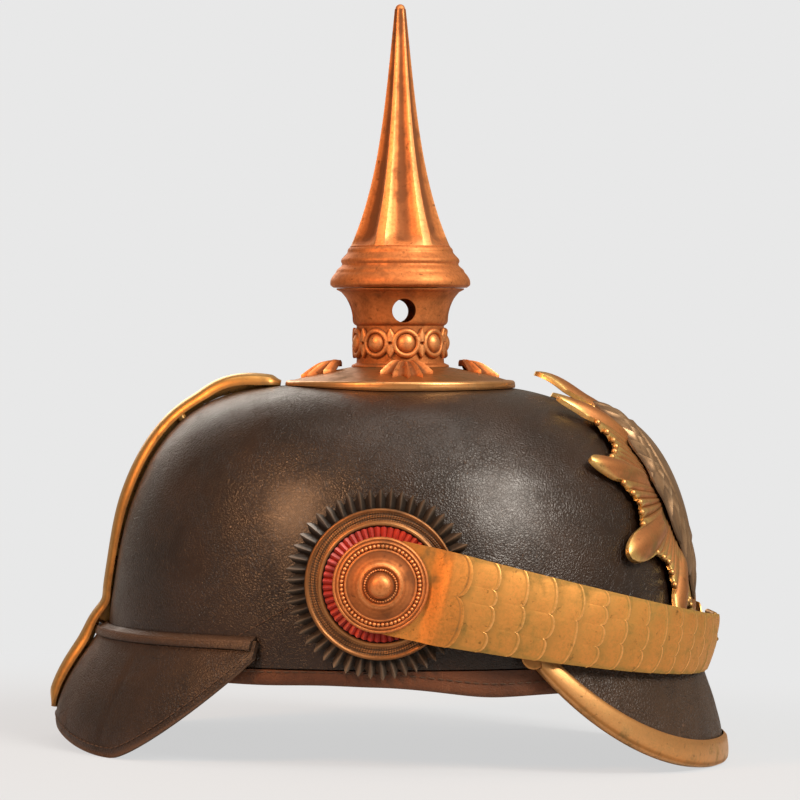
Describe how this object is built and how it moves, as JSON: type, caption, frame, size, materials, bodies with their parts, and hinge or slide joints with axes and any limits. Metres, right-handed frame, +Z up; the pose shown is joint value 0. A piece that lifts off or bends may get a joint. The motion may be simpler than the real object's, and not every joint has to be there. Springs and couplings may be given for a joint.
{
  "type": "spiked military helmet",
  "caption": "Spiked leather dress helmet with front and rear peaks, metal spine, star plate, side cockades and hinged scale chinstrap.",
  "frame": {"origin": "middle of the box's underside, where the helmet stands on its two peaks", "axes": "+Z up, +X to the front of the helmet, +Y to the wearer's left"},
  "size_m": [0.2602, 0.2178, 0.2828],
  "materials": {
    "skull_leather": "aged patent, fine pebble",
    "peak_leather": "aged patent, scratched",
    "brown_leather": "worn",
    "lining_silk": "quilted",
    "copper_gilt": "worn gilt, brown patina",
    "brass": "dull with green-brown patina",
    "plate_relief": "dull silvered",
    "cockade_leather": "lacquered black, pleated",
    "cockade_bronze": "engraved, dark",
    "cockade_cloth": "lacquered, pleated",
    "strap_leather": "worn",
    "fastener_brass": "plain"
  },
  "bodies": {
    "helmet": {"skull": "skull_leather", "silk_liner": "lining_silk", "sweatband": "brown_leather", "rear_peak": "peak_leather", "rear_peak_welt": "peak_leather", "front_peak": "peak_leather", "front_peak_welt": "peak_leather", "peak_trim": "brass", "trim_rivets": "brass", "rear_spine": "brass", "spine_screws": "fastener_brass", "base_disc": "copper_gilt", "base_studs": "copper_gilt", "stud_nuts": "fastener_brass", "neck": "copper_gilt", "neck_collar": "fastener_brass", "pearl_ring": "copper_gilt", "front_plate": "brass", "plate_posts": "fastener_brass", "plate_nuts": "fastener_brass", "plate_emblem": "plate_relief", "side_posts": "fastener_brass", "side_post_nuts": "fastener_brass", "rosette_right": "brass", "rosette_left": "brass"},
    "spike_thread": {"spike_bush": "fastener_brass"},
    "spike": {"spike": "copper_gilt"},
    "chinscale_strap": {"end_plate_right": "brass", "end_plate_left": "brass", "chinscales_right": "brass", "chinscales_left": "brass", "strap_leather_right": "strap_leather", "strap_leather_left": "strap_leather", "buckle_frame": "brass"},
    "prong": {"buckle_prong": "brass"},
    "cockade_right": {"cockade_right_leather": "cockade_leather", "cockade_right_ring": "cockade_bronze", "cockade_right_cloth": "cockade_cloth"},
    "cockade_left": {"cockade_left_leather": "cockade_leather", "cockade_left_ring": "cockade_bronze", "cockade_left_cloth": "cockade_cloth"}
  },
  "joints": [
    {"name": "spike_turn", "type": "hinge", "parent": "spike_thread", "child": "spike", "pos_m": [0.00071, 0, 0.1753], "axis": [-0.0279, 0, 0.9996], "range_deg": [0, 1920]},
    {"name": "spike_lift", "type": "slide", "parent": "helmet", "child": "spike_thread", "axis": [-0.0279, 0, 0.9996], "range_m": [0, 0.008]},
    {"name": "chinscale_swing", "type": "hinge", "parent": "helmet", "child": "chinscale_strap", "pos_m": [-0.00331, 0, 0.06847], "axis": [0, -1, 0], "range_deg": [0, 75]},
    {"name": "prong_swing", "type": "hinge", "parent": "chinscale_strap", "child": "prong", "pos_m": [0.12124, 0.02254, 0.04516], "axis": [0.184, 0, 0.9829], "range_deg": [0, 70]},
    {"name": "cockade_right_turn", "type": "hinge", "parent": "helmet", "child": "cockade_right", "pos_m": [-0.00331, -0.094, 0.06847], "axis": [0, -1, 0], "continuous": true},
    {"name": "cockade_left_turn", "type": "hinge", "parent": "helmet", "child": "cockade_left", "pos_m": [-0.00331, 0.094, 0.06847], "axis": [0, 1, 0], "continuous": true}
  ],
  "couplings": [
    {"joint": "spike_lift", "follows": "spike_turn", "m_per_rad": 0.00023871}
  ]
}
